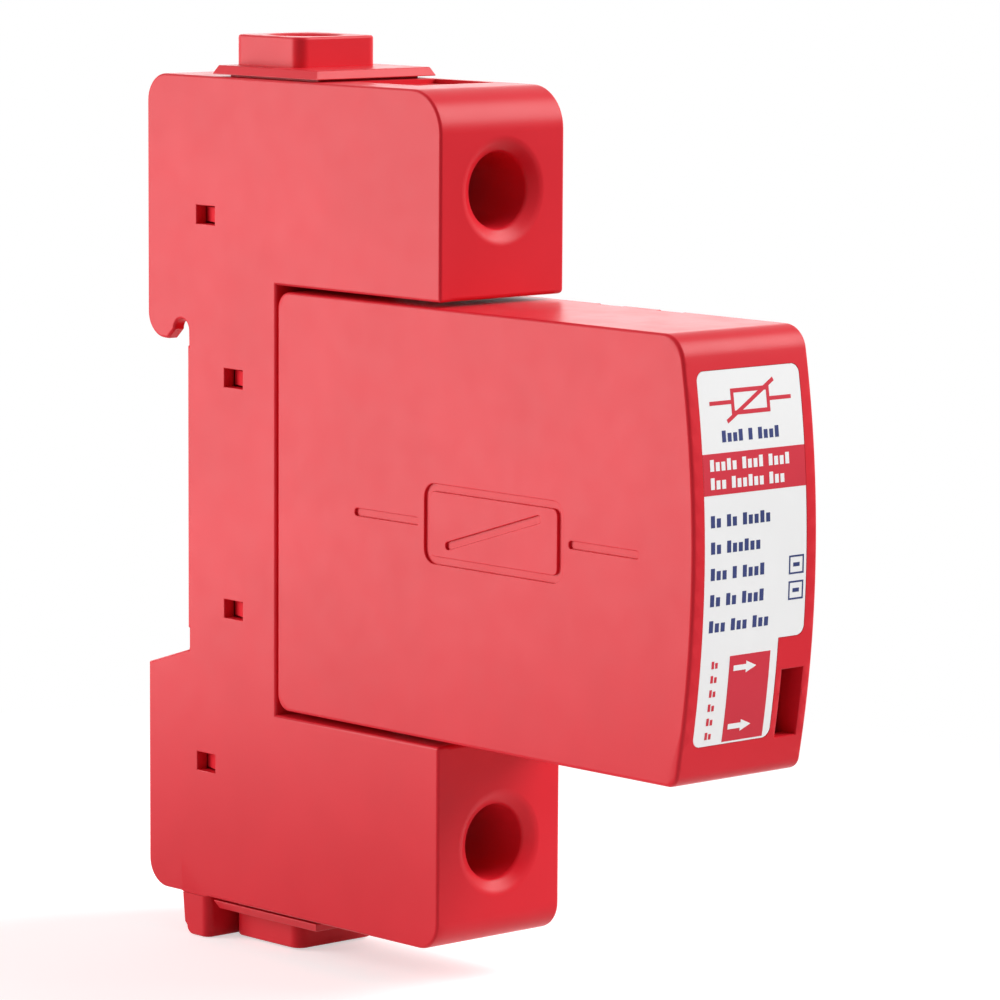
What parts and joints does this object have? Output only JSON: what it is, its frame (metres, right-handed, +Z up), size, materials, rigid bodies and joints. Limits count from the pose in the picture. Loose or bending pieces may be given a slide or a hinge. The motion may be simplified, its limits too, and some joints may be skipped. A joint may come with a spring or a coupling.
{
  "type": "din rail surge arrester",
  "caption": "Slim plug-in surge arrester for a DIN rail: red base with screw terminals and a rail latch, and a red cartridge with a curved label front and status window.",
  "frame": {"origin": "middle of the 35 mm rail, on the plane where the base sits on it, at mid width", "axes": "+X across the module to the right seen from the front, -Y towards the front, +Z up"},
  "size_m": [0.0176, 0.0856, 0.099],
  "materials": {
    "red_plastic": "fine satin moulding",
    "label_film": "printed white film",
    "flag_plastic": "dark red moulding",
    "green_plastic": "plain moulding",
    "zinc_steel": "bright zinc plated",
    "spring_steel": "drawn wire",
    "copper": "rolled copper strip",
    "fork_brass": "stamped brass strip",
    "varistor_coating": "epoxy dip on ceramic",
    "solder": "dull solder"
  },
  "bodies": {
    "base": {"base_housing": "red_plastic", "base_cover": "red_plastic", "upper_cable_collar": "red_plastic", "lower_cable_collar": "red_plastic", "upper_terminal_bar": "copper", "lower_terminal_bar": "copper", "upper_contact_fork": "fork_brass", "lower_contact_fork": "fork_brass", "upper_fork_rivets": "zinc_steel", "lower_fork_rivets": "zinc_steel", "latch_spring": "spring_steel"},
    "latch": {"rail_latch": "red_plastic"},
    "upper_screw": {"upper_terminal_screw": "zinc_steel"},
    "upper_cage": {"upper_terminal_cage": "zinc_steel"},
    "lower_screw": {"lower_terminal_screw": "zinc_steel"},
    "lower_cage": {"lower_terminal_cage": "zinc_steel"},
    "cartridge": {"cartridge_housing": "red_plastic", "cartridge_lid": "red_plastic", "front_label": "label_film", "indicator_plate": "green_plastic", "flag_spring": "spring_steel", "varistor_block": "varistor_coating", "left_electrode": "fork_brass", "right_electrode": "fork_brass", "upper_plug_blade": "copper", "lower_plug_blade": "copper", "disconnect_tongue": "copper", "solder_joint": "solder"},
    "flag": {"status_flag": "flag_plastic"}
  },
  "joints": [
    {"name": "latch_slide", "type": "slide", "parent": "base", "child": "latch", "axis": [0, 0, -1], "range_m": [0, 0.0035], "stiffness_N_per_m": 800, "springref_m": -0.002, "deforming": ["latch_spring"]},
    {"name": "upper_screw_turn", "type": "hinge", "parent": "base", "child": "upper_screw", "pos_m": [0, -0.02, 0.0344], "axis": [0, 1, 0], "range_deg": [0, 2166]},
    {"name": "upper_cage_slide", "type": "slide", "parent": "base", "child": "upper_cage", "axis": [0, -1, 0], "range_m": [0, 0.0048]},
    {"name": "lower_screw_turn", "type": "hinge", "parent": "base", "child": "lower_screw", "pos_m": [0, -0.02, -0.0344], "axis": [0, 1, 0], "range_deg": [0, 2166]},
    {"name": "lower_cage_slide", "type": "slide", "parent": "base", "child": "lower_cage", "axis": [0, -1, 0], "range_m": [0, 0.0048]},
    {"name": "cartridge_slide", "type": "slide", "parent": "base", "child": "cartridge", "axis": [0, -1, 0], "range_m": [0, 0.042]},
    {"name": "flag_slide", "type": "slide", "parent": "cartridge", "child": "flag", "axis": [0, 0, 1], "range_m": [0, 0.0085], "deforming": ["flag_spring"]}
  ],
  "couplings": [
    {"joint": "upper_screw_turn", "follows": "upper_cage_slide", "rad_per_m": 7854},
    {"joint": "lower_screw_turn", "follows": "lower_cage_slide", "rad_per_m": 7854}
  ]
}
